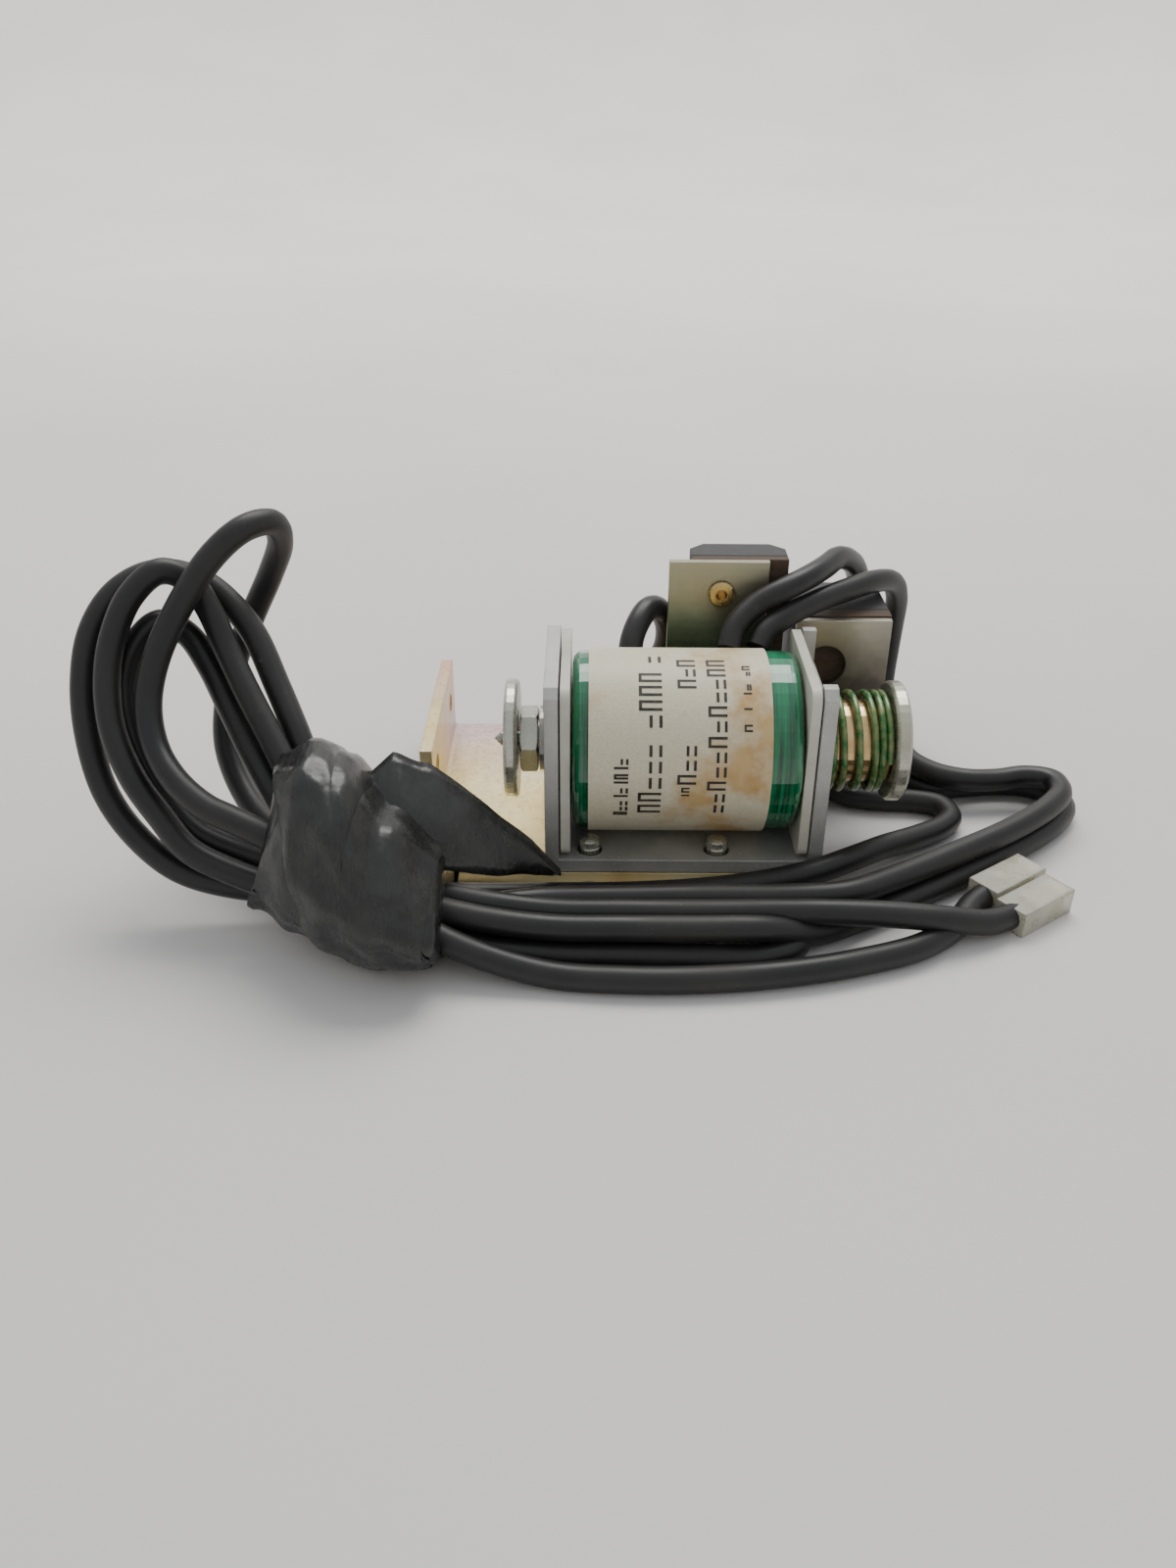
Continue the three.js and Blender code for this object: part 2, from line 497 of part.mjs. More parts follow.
function footRivets() {
  const top = BRACKET.thickness + GAP + PLATE.thickness;
  const f = FOOT_RIVET;
  const profile = [[0, 0], [0, f.head - 0.2], [f.sink - 0.2, f.shank], [top - f.sink + 0.2, f.shank],
    [top, f.head - 0.2], [top, 0]];
  footRivetPlaces().forEach(([x, y], i) => {
    add(`foot_rivet_${i + 1}`, alongZ(profile, x, y, 14), finish(COLOUR.zinc, 0.4, 0.9));
  });
}

// ---- leads, hank, tape and terminals ----
function leadRun(name, points) {
  const curve = new THREE.CatmullRomCurve3(points.map((p) => new THREE.Vector3(...p)), false, 'centripetal');
  const steps = Math.round(curve.getLength() / LEAD.stepLength);
  const section = polygon(Array.from({ length: LEAD.sides }, (_, i) => {
    const angle = ((i + 0.5) * Math.PI * 2) / LEAD.sides;
    return [(LEAD.diameter / 2) * Math.cos(angle), (LEAD.diameter / 2) * Math.sin(angle)];
  }));
  const geometry = new THREE.ExtrudeGeometry(section, { steps, extrudePath: curve, bevelEnabled: false });
  add(name, solid(geometry), finish(COLOUR.blackPvc, 0.45, 0));
}

function smoothOutline(points, divisions) {
  const curve = new THREE.CatmullRomCurve3(points.map(([x, y]) => new THREE.Vector3(x, y, 0)), true);
  return curve.getPoints(divisions).slice(0, -1).map((p) => [p.x, p.y]);
}

function hankLeft() {
  const h = LEFT_LOOPS;
  const outline = polygon(smoothOutline(h.outer, h.outerSteps));
  outline.holes.push(polygon(smoothOutline(h.hole, h.holeSteps)));
  const geometry = new THREE.ExtrudeGeometry(outline, { depth: h.thickness, bevelEnabled: false });
  geometry.rotateX(Math.PI / 2).translate(0, h.thickness / 2, 0);
  geometry.rotateX(-THREE.MathUtils.degToRad(h.lean)).translate(0, h.middle, 0);
  const { left, side, top } = h.reach;
  const besideTape = box(left, TAPE.sections[0].x - GAP, -side, side, RIGHT_LOOPS.bottom, h.overTape);
  const overTape = box(left, h.right, -side, side, h.overTape, top);
  add('lead_hank_left_loops', solid(geometry).intersect(besideTape.add(overTape)), finish(COLOUR.blackPvc, 0.45, 0));
}

function hankRight() {
  const h = RIGHT_LOOPS;
  const outline = polygon(h.outer);
  outline.holes.push(polygon(h.hole));
  add('lead_hank_right_loops', upright(outline, h.bottom, h.height), finish(COLOUR.blackPvc, 0.45, 0));
}

// The oval ring of a tape wrap, t of the way from one cross-section to the next.
function tapeRing(from, to, t) {
  const between = (key) => THREE.MathUtils.lerp(from[key], to[key], t);
  const swell = 1 + TAPE.swell * Math.sin(Math.PI * t);
  const height = between('height');
  return Array.from({ length: TAPE.sides }, (_, i) => {
    const angle = (i * Math.PI * 2) / TAPE.sides;
    return [between('x'), between('y') + between('depth') * swell * Math.cos(angle),
      TAPE.bottom + height + height * Math.sin(angle)];
  });
}

function tapeWrap(name, from, to) {
  const { rings, sides } = TAPE;
  const points = Array.from({ length: rings + 1 }, (_, i) => tapeRing(from, to, i / rings));
  const at = (ring, side) => ring * sides + (side % sides);
  const index = [];
  for (let ring = 0; ring < rings; ring += 1) {
    for (let side = 0; side < sides; side += 1) {
      index.push(at(ring, side), at(ring, side + 1), at(ring + 1, side));
      index.push(at(ring + 1, side), at(ring, side + 1), at(ring + 1, side + 1));
    }
  }
  for (let side = 1; side < sides - 1; side += 1) {
    index.push(at(0, 0), at(0, side + 1), at(0, side));
    index.push(at(rings, 0), at(rings, side), at(rings, side + 1));
  }
  const geometry = new THREE.BufferGeometry();
  geometry.setAttribute('position', new THREE.Float32BufferAttribute(points.flat(2), 3));
  geometry.setIndex(index);
  add(name, solid(geometry), finish(COLOUR.tape, 0.3, 0));
}

function tapeWraps() {
  const [left, middle, right] = TAPE.sections;
  tapeWrap('tape_wrap_left', left, { ...middle, x: middle.x - GAP / 2 });
  tapeWrap('tape_wrap_right', { ...middle, x: middle.x + GAP / 2 }, right);
}

function tapeFlap() {
  const shape = polygon(FLAP.points);
  add('tape_flap', sideways(shape, FLAP.y - FLAP.thickness, FLAP.y), finish(COLOUR.tape, 0.3, 0));
}

function terminals() {
  const t = TERMINAL;
  TERMINALS.forEach(({ name, x, y, turn }) => {
    const place = (geometry) => solid(geometry.rotateZ(THREE.MathUtils.degToRad(turn)).translate(x, y, t.height / 2));
    const block = (x0, x1, width, height) => {
      const geometry = new THREE.BoxGeometry(x1 - x0, width, height);
      return geometry.translate((x0 + x1) / 2, 0, 0);
    };
    const shell = place(block(0, t.length, t.width, t.height));
    const pocket = place(block(t.wireLength, t.length + 1, t.width - 2 * t.wall, t.height - 2 * t.wall));
    add(`terminal_sleeve_${name}`, shell.subtract(pocket), finish(COLOUR.white, 0.3, 0));
    const contact = place(block(t.wireLength + GAP, t.wireLength + GAP + t.contactLength,
      t.width - 2 * t.wall - 2 * GAP, t.height - 2 * t.wall - 2 * GAP));
    add(`terminal_contact_${name}`, contact, finish(COLOUR.brass, 0.3, 0.9));
  });
}

mountingBracket();
solenoidFrame();
frameScrews();
coilBobbin();
coilWindings();
coilLabel();
coreGroup();
slidingGroup();
returnSpring();
magnetStack('tall', TALL, COLOUR.olive);
magnetStack('short', SHORT, COLOUR.taupe);
footRivets();
Object.entries(LEAD_RUNS).forEach(([name, points]) => leadRun(name, points));
hankLeft();
hankRight();
tapeWraps();
tapeFlap();
terminals();

// ---- the lock is centred over the origin ----
const leftmost = BRACKET.left;
const rightmost = BRACKET.wingRight;
const frontmost = AXIS.y - LABEL.outer;
const rearmost = SHORT.blockBack + 2 * GAP + PLATE.thickness + RIVET.headHeight;
lock.position.set(-(leftmost + rightmost) / 2, -(frontmost + rearmost) / 2, 0);

const part = new THREE.Group();
part.add(lock);
export default part;
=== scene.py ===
# Looks for the magnetic door lock: materials, the leads with their tape, the label's print, the return
# spring, a pale floor, soft light and the camera. Metres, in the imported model's frame.
import math
import random

import bmesh
import bpy
from mathutils import Matrix, Vector, noise


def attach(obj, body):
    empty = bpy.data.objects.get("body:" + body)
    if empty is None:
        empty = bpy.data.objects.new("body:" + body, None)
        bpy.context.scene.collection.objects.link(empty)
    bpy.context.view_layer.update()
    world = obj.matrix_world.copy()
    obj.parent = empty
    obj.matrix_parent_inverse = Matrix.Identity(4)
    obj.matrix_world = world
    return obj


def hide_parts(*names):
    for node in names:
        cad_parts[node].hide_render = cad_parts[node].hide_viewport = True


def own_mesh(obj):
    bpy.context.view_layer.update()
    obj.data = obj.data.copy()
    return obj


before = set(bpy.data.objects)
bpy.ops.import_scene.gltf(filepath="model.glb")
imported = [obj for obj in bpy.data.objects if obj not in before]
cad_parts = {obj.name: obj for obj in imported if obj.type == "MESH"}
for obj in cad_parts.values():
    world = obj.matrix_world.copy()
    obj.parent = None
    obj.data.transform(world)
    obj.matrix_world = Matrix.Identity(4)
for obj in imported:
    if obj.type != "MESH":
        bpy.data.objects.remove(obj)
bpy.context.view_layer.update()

MM = 0.001
ROOT = "lock_body"

# ---- places, in millimetres from the lock's own corner, as the part's source has them ----
LOCK_ORIGIN = Vector((-23.0, -30.125, 0.0))
AXIS_Y = 15.5
AXIS_Z = 22.9
LEAD_DIAMETER = 4.8
LABEL_RADIUS = 17.45
TALL_TOP = 50.1
SHORT_TOP = 37.9
SPRING = {
    "radius": 9.2, "wire": 0.63, "left": 53.0, "right": 64.0, "closed_pitch": 1.32,
    "left_turns": 1, "open_turns": 2.4, "right_turns": 2, "steps": 40, "resolution": 4, "keep": 0.57,
}
# The label's print: each column's place along X, its angles from the top, and the size of its marks.
PRINT = {
    "seed": 7, "lift": 0.06, "arc_step": 3.0, "second_stroke": 0.45,
    "columns": [
        {"x": 35.8, "width": 1.5, "from": 12, "to": 54, "mark": (3.2, 5.2), "gap": 1.5, "stroke": 0.36,
         "kinds": ["block", "bar", "rungs"], "breaks": 0.15},
        {"x": 29.4, "width": 3.4, "from": 6, "to": 108, "mark": (6.0, 6.8), "gap": 2.6, "stroke": 0.5,
         "kinds": ["block", "rungs"]},
        {"x": 24.0, "width": 3.4, "from": 6, "to": 26, "mark": (6.0, 6.8), "gap": 2.6, "stroke": 0.5,
         "kinds": ["block", "rungs"]},
        {"x": 24.0, "width": 3.4, "from": 66, "to": 84, "mark": (6.0, 6.8), "gap": 2.6, "stroke": 0.5,
         "kinds": ["block", "rungs"]},
        {"x": 24.8, "width": 1.5, "from": 92, "to": 102, "mark": (3.0, 4.0), "gap": 1.5, "stroke": 0.34,
         "kinds": ["block", "bar"]},
        {"x": 17.0, "width": 4.2, "from": 2, "to": 112, "mark": (6.6, 7.4), "gap": 2.8, "stroke": 0.55,
         "kinds": ["block", "rungs"], "breaks": 0.12},
        {"x": 12.6, "width": 2.6, "from": 74, "to": 112, "mark": (3.2, 3.8), "gap": 1.2, "stroke": 0.45,
         "kinds": ["block", "rungs", "bar"]},
    ],
}
# The taped lump: sections of x, the middle in Y and Z, half width and half height. Bands are turns of tape.
TAPE = {
    "sections": [
        (-47.0, -13.6, 19.5, 11.0, 13.5), (-41.0, -14.6, 19.0, 14.0, 16.5), (-34.0, -16.4, 17.6, 16.2, 16.6),
        (-26.0, -17.6, 12.4, 17.0, 12.2), (-16.6, -17.6, 9.1, 16.6, 9.0),
    ],
    "left_end": (-9.0, -4.0, -1.0), "right_end": (-1.0, -3.0, -6.0), "rings": 26, "sides": 96, "bottom": 0.1,
    "strands": 5, "strand_twist": 0.05, "bulge": 0.5, "lumps": 1.5, "lump_round": 2.2, "lump_along": 0.09,
    "crease": 0.7, "crease_along": 0.22, "crease_round": 3.2, "crease_seed": 4.0,
    "slant": 0.2, "slant_from": 17,
    "turn_steps": 110, "across": 12, "overlap": 0.5, "edge_drop": 0.55, "edge_push": 1.02,
    "ragged": 0.5, "ragged_scale": 1.5, "ragged_seed": 7.0,
    "bands": [
        {"x": -39.5, "width": 13.0, "tilt": 3.0, "phase": 0.4, "start": 3.6, "lift": 0.55},
        {"x": -29.5, "width": 14.0, "tilt": -4.5, "phase": 1.0, "start": 4.4, "lift": 0.85},
        {"x": -36.0, "width": 12.0, "tilt": -6.0, "phase": 0.2, "start": 5.0, "lift": 1.2},
        {"x": -24.0, "width": 13.5, "tilt": 1.8, "phase": 1.2, "start": 4.0, "lift": 1.5},
    ],
}
# The tape's loose end: its upper and lower edges from the lump to the frame's foot.
FLAP = {
    "top": [(-33, -9, 27), (-26, -6, 31), (-20, -5, 29), (-10, -4.5, 20), (-2, -4, 12), (3, -4, 6)],
    "low": [(-33, -17, 22), (-22, -20, 17), (-12, -15, 12), (-4, -9, 8), (1, -6.4, 6), (3, -5, 5)],
    "steps": 40, "across": 10, "belly": 1.6, "belly_rise": 0.4, "thickness": 0.35,
    "wave": 0.5, "wave_along": 1.4, "wave_across": 3.0, "wave_seed": 9.0,
}
FLOOR = {"flat": 1.1, "flat_steps": 6, "rise": 1.5, "turn_steps": 24, "sides": 72}
LIGHTS = [
    {"name": "ceiling", "place_at": (0.1, 0.9, 1.5), "aim": (0.0, 0.0, 0.0), "size": (1.4, 0.9),
     "energy": 24.0, "colour": (1.0, 0.98, 0.95)},
    {"name": "far_wall", "place_at": (0.0, 0.7, 1.3), "aim": (0.0, 2.0, 0.5), "size": (2.0, 0.6),
     "energy": 22.0, "colour": (1.0, 0.98, 0.96)},
]
ROOM = {"colour": (0.94, 0.97, 1.0), "strength": 0.72}
CAMERA_PLACE = (7.98, -200.4, 137.5)
CAMERA_TILT = 60.0
CAMERA_ROLL = 0.35
LENS = 39.0
SENSOR = 36.0


def place(x, y, z):
    """A point of the lock's own corner frame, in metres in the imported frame."""
    return (Vector((x, y, z)) + LOCK_ORIGIN) * MM


# ---- camera ----
def make_camera():
    data = bpy.data.cameras.new("camera")
    data.sensor_fit = "HORIZONTAL"
    data.sensor_width = SENSOR
    data.lens = LENS
    data.clip_start = 0.01
    data.clip_end = 20.0
    camera = bpy.data.objects.new("camera", data)
    camera.location = place(*CAMERA_PLACE)
    turn = Matrix.Rotation(math.radians(CAMERA_TILT), 4, "X")
    roll = Matrix.Rotation(math.radians(CAMERA_ROLL), 4, "Z")
    camera.rotation_euler = (turn @ roll).to_euler()
    bpy.context.scene.collection.objects.link(camera)
    bpy.context.scene.camera = camera


make_camera()


# ---- node helpers for the materials ----
class Nodes:
    """A material's node tree, with short calls for the nodes that the materials share."""

    def __init__(self, name):
        self.material = bpy.data.materials.new(name)
        self.material.use_nodes = True
        self.tree = self.material.node_tree
        self.shader = self.tree.nodes["Principled BSDF"]
        coordinates = self.tree.nodes.new("ShaderNodeTexCoord")
        self.object_space = coordinates.outputs["Object"]

    def link(self, output, node_input):
        self.tree.links.new(output, node_input)

    def set(self, **values):
        for key, value in values.items():
            self.shader.inputs[key.replace("_", " ")].default_value = value

    def mapped(self, scale=(1.0, 1.0, 1.0), location=(0.0, 0.0, 0.0)):
        mapping = self.tree.nodes.new("ShaderNodeMapping")
        mapping.inputs["Scale"].default_value = scale
        mapping.inputs["Location"].default_value = location
        self.link(self.object_space, mapping.inputs["Vector"])
        return mapping.outputs["Vector"]

    def noise(self, scale, detail=3.0, roughness=0.55, vector=None):
        texture = self.tree.nodes.new("ShaderNodeTexNoise")
        texture.inputs["Scale"].default_value = scale
        texture.inputs["Detail"].default_value = detail
        texture.inputs["Roughness"].default_value = roughness
        self.link(vector or self.object_space, texture.inputs["Vector"])
        return texture.outputs["Fac"]

    def axis(self, name):
        split = self.tree.nodes.new("ShaderNodeSeparateXYZ")
        self.link(self.object_space, split.inputs["Vector"])
        return split.outputs[name]

    def ramp(self, factor, stops):
        node = self.tree.nodes.new("ShaderNodeValToRGB")
        elements = node.color_ramp.elements
        while len(elements) < len(stops):
            elements.new(0.5)
        for element, (position, colour) in zip(elements, stops):
            element.position = position
            element.color = (*colour, 1.0)
        self.link(factor, node.inputs["Fac"])
        return node.outputs["Color"]

    def spread(self, value, low, high, to_low=0.0, to_high=1.0):
        node = self.tree.nodes.new("ShaderNodeMapRange")
        node.inputs["From Min"].default_value = low
        node.inputs["From Max"].default_value = high
        node.inputs["To Min"].default_value = to_low
        node.inputs["To Max"].default_value = to_high
        self.link(value, node.inputs["Value"])
        return node.outputs["Result"]

    def mix(self, factor, first, second, blend="MIX"):
        node = self.tree.nodes.new("ShaderNodeMix")
        node.data_type = "RGBA"
        node.blend_type = blend
        for value, socket in ((factor, "Factor_Float"), (first, "A_Color"), (second, "B_Color")):
            target = next(s for s in node.inputs if s.identifier == socket)
            if isinstance(value, bpy.types.NodeSocket):
                self.link(value, target)
            elif isinstance(value, tuple):
                target.default_value = (*value, 1.0)
            else:
                target.default_value = value
        return next(s for s in node.outputs if s.identifier == "Result_Color")

    def bump(self, height, strength, distance, under=None):
        node = self.tree.nodes.new("ShaderNodeBump")
        node.inputs["Strength"].default_value = strength
        node.inputs["Distance"].default_value = distance
        self.link(height, node.inputs["Height"])
        if under is not None:
            self.link(under, node.inputs["Normal"])
        return node.outputs["Normal"]

    def soft_edges(self, radius):
        node = self.tree.nodes.new("ShaderNodeBevel")
        node.samples = 4
        node.inputs["Radius"].default_value = radius
        return node.outputs["Normal"]

    def colour(self, output):
        self.link(output, self.shader.inputs["Base Color"])

    def rough(self, output):
        self.link(output, self.shader.inputs["Roughness"])

    def normal(self, output):
        self.link(output, self.shader.inputs["Normal"])


# ---- leads ----
# Each lead's whole centreline in millimetres of the lock's own corner frame, from the coil to its terminal.
LEADS = {
    "a": {
        "stretches": {
            "from the coil over the short stack and down behind it": [
                (41, 28.6, 36.2), (42.6, 30.8, 38.6), (47, 34, 40.8), (53.2, 38.6, 42), (60, 44, 42.2),
                (66.6, 49.6, 42), (72.2, 55.6, 39.8), (75, 60.6, 34.4), (75.8, 64, 27), (75.8, 65, 20),
                (75.3, 63.6, 13), (74.9, 59, 8.8), (74.7, 53, 7.6), (74.7, 46, 7.5), (75.1, 40, 7.4),
            ],
            "round the far right loop, on lead c": [
                (76.4, 35.4, 7.2), (80.6, 31.6, 6.6), (86.5, 29.8, 6.2), (93, 30.2, 6), (99, 30.6, 6.6),
                (103.6, 28, 7.2), (103.8, 23, 7.2), (99.6, 17.2, 7.2), (93.6, 11.8, 7.1), (87, 7, 6.9),
                (79, 1.8, 6.8), (71, -3.4, 6.8), (63, -8.4, 7), (54, -13.2, 7.2),
            ],
            "along the front and into the tape": [
                (42, -14.6, 7.3), (30, -14.6, 7.2), (15, -14.6, 6.8), (0, -15.6, 7), (-15, -18, 6.6),
                (-30, -18.6, 7), (-43, -17, 9.4), (-54, -14.8, 12),
            ],
            "round the standing loop": [
                (-62, -13, 15.6), (-67, -10, 20.6), (-71.6, -7, 26.2), (-75.6, -2, 33), (-77, 3, 40.2),
                (-76.1, 7.2, 47), (-73, 11.2, 53.4), (-68.1, 14, 56.8), (-63.6, 15, 54.6), (-60.4, 13.4, 50),
                (-57.2, 10, 44), (-53.2, 5, 38), (-48.1, -1, 31.2),
            ],
            "back through the tape to the terminal": [
                (-42.6, -8, 24), (-34, -17, 15), (-18, -26.6, 7.6), (0, -30.6, 2.8), (15, -32, 2.45),
                (30, -31.6, 2.45), (44.8, -29.4, 2.45), (56, -26.4, 2.45), (66, -22.4, 2.45),
                (73.4, -16.6, 2.45), (78.2, -10, 2.5), (82.2, -6, 2.55),
            ],
        },
    },
    "b": {
        "stretches": {
            "from the coil, down behind the tall plate and along the channel": [
                (16, 29.7, 33.6), (16.6, 32.4, 36.6), (18, 35.4, 39), (19.8, 39, 40), (22, 43.4, 38.4),
                (24, 46.6, 34), (24.2, 49, 28), (21.8, 50.6, 21.5), (18.6, 50, 14.5), (16.8, 47.4, 8.6),
                (17, 43, 5.6), (18.8, 38.6, 5.2), (23.4, 35.6, 5.2), (30, 34.7, 5.2), (38, 34.7, 5.2),
                (46, 34.5, 5.2), (51.8, 34.1, 5.1),
            ],
            "round the near right loop": [
                (57, 31.6, 3.8), (62.6, 29, 2.6), (69, 27.8, 2.45), (75.6, 27.4, 2.45), (80.4, 25.6, 2.45),
                (81.6, 21, 2.45), (78.6, 16.6, 2.6), (72.6, 12, 3.2), (65, 6.8, 4.2), (58, 1.2, 5.2),
                (50, -3.4, 5.2), (42, -5.7, 4.6),
            ],
            "along the front and into the tape": [
                (30, -6.9, 3.4), (15, -7.2, 2.5), (0, -7.6, 2.5), (-15, -9.4, 3.6), (-30, -11, 5.6),
                (-44, -11.4, 6), (-56, -11.2, 6.8),
            ],
            "round the outer standing loop": [
                (-65.6, -10, 9.4), (-73.2, -7, 14.6), (-78.7, -3, 21), (-81.9, 2, 29.6), (-82.9, 7, 38.2),
                (-81.6, 11.5, 46), (-78, 15.5, 51.5), (-73, 18.5, 54.2), (-68, 20, 54.4), (-62.5, 20, 52.4),
                (-57.4, 18, 48.8), (-53, 14.6, 44.2), (-48.7, 9, 37.2), (-44.6, 3, 30.6),
            ],
            "through the tape, round the inner turn at the front and back": [
                (-40, -4, 22.6), (-33, -10.6, 14.6), (-24, -13.6, 8.6), (-14, -13, 4.6), (0, -12.4, 2.5),
                (15, -12, 2.5), (30, -11.4, 2.45), (39, -12, 2.45), (44.4, -15.8, 2.45), (44.4, -22, 2.45),
                (38.6, -25.6, 2.45), (29, -26, 2.45), (15, -25.6, 2.45), (0, -25, 2.45), (-15, -24, 4.4),
                (-29, -22.4, 12), (-41, -19.4, 19.4),
            ],
            "round the tall standing loop": [
                (-52.3, -16, 23.5), (-57.5, -14, 25), (-63, -10.5, 28), (-67.3, -5.5, 32), (-69.1, -0.5, 37.6),
                (-67.9, 3.5, 44.2), (-63.7, 8, 52.6), (-57.9, 11.8, 60.4), (-52.6, 14.8, 64.4),
                (-48.8, 19.6, 64), (-48.8, 24.4, 58.8), (-52, 27, 51.6), (-56.2, 27, 43.6), (-60, 25.4, 35.6),
                (-62, 21.5, 28), (-61.6, 15.6, 21), (-57.6, 8.6, 15),
            ],
            "back through the tape to the terminal": [
                (-51, 1, 11.6), (-42, -6.4, 10.4), (-30, -13, 10.6), (-16, -17.4, 9), (0, -19, 7.3),
                (15, -19.4, 7.3), (30, -19.4, 7.3), (45, -19, 7.3), (58, -19, 7), (70, -18.4, 5.6),
                (79, -16.4, 3.4), (85.4, -12.8, 2.6),
            ],
        },
    },
    "c": {
        "stretches": {
            "from the coil over the short stack and down behind it": [
                (35.4, 28.4, 36), (36.6, 31.2, 39.4), (40.6, 34.2, 42.8), (46.4, 35.8, 45.6),
                (51.6, 39.6, 46.8), (55.8, 45, 47), (59, 50.4, 46.8), (62.4, 56, 44.6), (65.6, 61.6, 40.4),
                (67.8, 65.6, 33.4), (68, 66.8, 26), (68.2, 66.6, 18), (70.2, 65.4, 10), (73, 62, 4.2),
                (74.2, 57, 2.5), (74.5, 51, 2.5), (74.5, 46, 2.5), (74.9, 40, 2.5),
            ],
            "round the far right loop, on the floor": [
                (76.4, 34.8, 2.45), (81, 32.6, 2.45), (87, 33.6, 2.45), (94, 34.6, 2.45), (100.6, 34, 2.45),
                (105.4, 30.4, 2.45), (106, 24.8, 2.45), (101.6, 18.2, 2.45), (93, 10.4, 2.45),
                (84.2, 3.8, 2.45), (75.7, -2.3, 2.45), (67.7, -7.6, 2.45), (56.5, -14.4, 2.45),
            ],
            "along the front and into the tape": [
                (47.6, -19.8, 3.4), (38, -23.6, 7), (27, -24.2, 7.3), (15, -24.2, 7.3), (0, -23.8, 7.3),
                (-15, -22.4, 9), (-30, -18, 11), (-43, -13, 11.6), (-54, -9.6, 13),
            ],
            "round the small standing loop": [
                (-61.5, -8, 15.9), (-68, -4, 21.3), (-72.5, 0, 27.8), (-75, 4, 33.8), (-75.7, 8, 38.8),
                (-73.8, 11.4, 43.9), (-69.8, 14, 47), (-65.4, 14.5, 44.6), (-61.4, 12, 39.5),
                (-57.3, 7, 33.8), (-52, 0, 27.3),
            ],
            "through the tape to the terminal behind it": [
                (-46.4, -6.4, 20.6), (-41.6, -10, 13), (-39.4, -8, 6.4), (-39.6, -3, 3.2), (-40.3, 4.6, 2.55),
            ],
        },
    },
}
SPLINE_STEPS = 8
TUBE_RESOLUTION = 5


def centreline(points):
    """A smooth line through the points, a centripetal Catmull-Rom spline, in metres."""
    known = [place(*p) for p in points]
    ends = [2 * known[0] - known[1], *known, 2 * known[-1] - known[-2]]
    line = []
    for p0, p1, p2, p3 in zip(ends, ends[1:], ends[2:], ends[3:]):
        t1 = (p1 - p0).length ** 0.5
        t2 = t1 + (p2 - p1).length ** 0.5
        t3 = t2 + (p3 - p2).length ** 0.5
        for step in range(SPLINE_STEPS):
            t = t1 + (t2 - t1) * step / SPLINE_STEPS
            a = p0.lerp(p1, t / t1)
            b = p1.lerp(p2, (t - t1) / (t2 - t1))
            c = p2.lerp(p3, (t - t2) / (t3 - t2))
            ab = a.lerp(b, t / t2)
            bc = b.lerp(c, (t - t1) / (t3 - t1))
            line.append(ab.lerp(bc, (t - t1) / (t2 - t1)))
    return [*line, known[-1]]


def tube(name, line, radius, material, resolution=TUBE_RESOLUTION):
    data = bpy.data.curves.new(name, "CURVE")
    data.dimensions = "3D"
    data.bevel_depth = radius
    data.bevel_resolution = resolution
    data.use_fill_caps = True
    spline = data.splines.new("POLY")
    spline.points.add(len(line) - 1)
    for point, position in zip(spline.points, line):
        point.co = (*position, 1.0)
        point.radius = 1.0
    spline.use_smooth = True
    data.materials.append(material)
    piece = bpy.data.objects.new(name, data)
    bpy.context.scene.collection.objects.link(piece)
    return piece


def black_pvc():
    """Satin black insulation with pale scuffs and dust along it."""
    n = Nodes("black_pvc")
    scuff = n.noise(900.0, 6.0, 0.7)
    patch = n.noise(60.0, 2.0, 0.5)
    marks = n.spread(scuff, 0.62, 0.74)
    areas = n.spread(patch, 0.52, 0.66)
    both = n.mix(marks, (0.0, 0.0, 0.0), areas)
    base = n.mix(n.spread(patch, 0.3, 0.7), (0.012, 0.012, 0.013), (0.022, 0.021, 0.020))
    n.colour(n.mix(n.spread(both, 0.0, 1.0, 0.0, 0.32), base, (0.20, 0.19, 0.17)))
    n.rough(n.spread(patch, 0.3, 0.7, 0.34, 0.52))
    n.normal(n.bump(scuff, 0.12, 0.0003))
    n.set(Specular_IOR_Level=0.45)
    return n.material


def make_leads():
    pvc = black_pvc()
    nodes = {
        "a": ["lead_a_run", "lead_hank_right_loops"],
        "b": ["lead_b_run", "lead_hank_left_loops"],
        "c": ["lead_c_run"],
    }
    for key, lead in LEADS.items():
        points = [p for stretch in lead["stretches"].values() for p in stretch]
        line = centreline(points)
        piece = tube(f"lead_{key}", line, LEAD_DIAMETER / 2 * MM, pvc)
        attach(piece, ROOT)
        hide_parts(*nodes[key])
        lead["piece"] = piece
        lead["line"] = line


make_leads()


# ---- materials of the CAD nodes ----
def plated(name, dark, light, tint=None, metallic=0.85, rough=(0.3, 0.5), grain=1400.0, sparkle=0.0):
    """Plated steel: slow changes of tone, a fine grain, and soft worn edges."""
    n = Nodes(name)
    patch = 70.0
    slow = n.noise(patch, 3.0, 0.6)
    fine = n.noise(grain, 4.0, 0.65)
    tone = n.mix(n.spread(slow, 0.32, 0.68), dark, light)
    if tint:
        tone = n.mix(n.spread(n.noise(patch * 0.6, 2.0, 0.5), 0.5, 0.72, 0.0, 0.8), tone, tint)
    if sparkle:
        tone = n.mix(n.spread(fine, 0.58, 0.7, 0.0, sparkle), tone, (0.75, 0.75, 0.70))
    n.colour(tone)
    n.rough(n.spread(fine, 0.3, 0.7, *rough))
    n.normal(n.bump(fine, 0.08, 0.0001, under=n.soft_edges(0.0004)))
    n.set(Metallic=metallic)
    return n.material


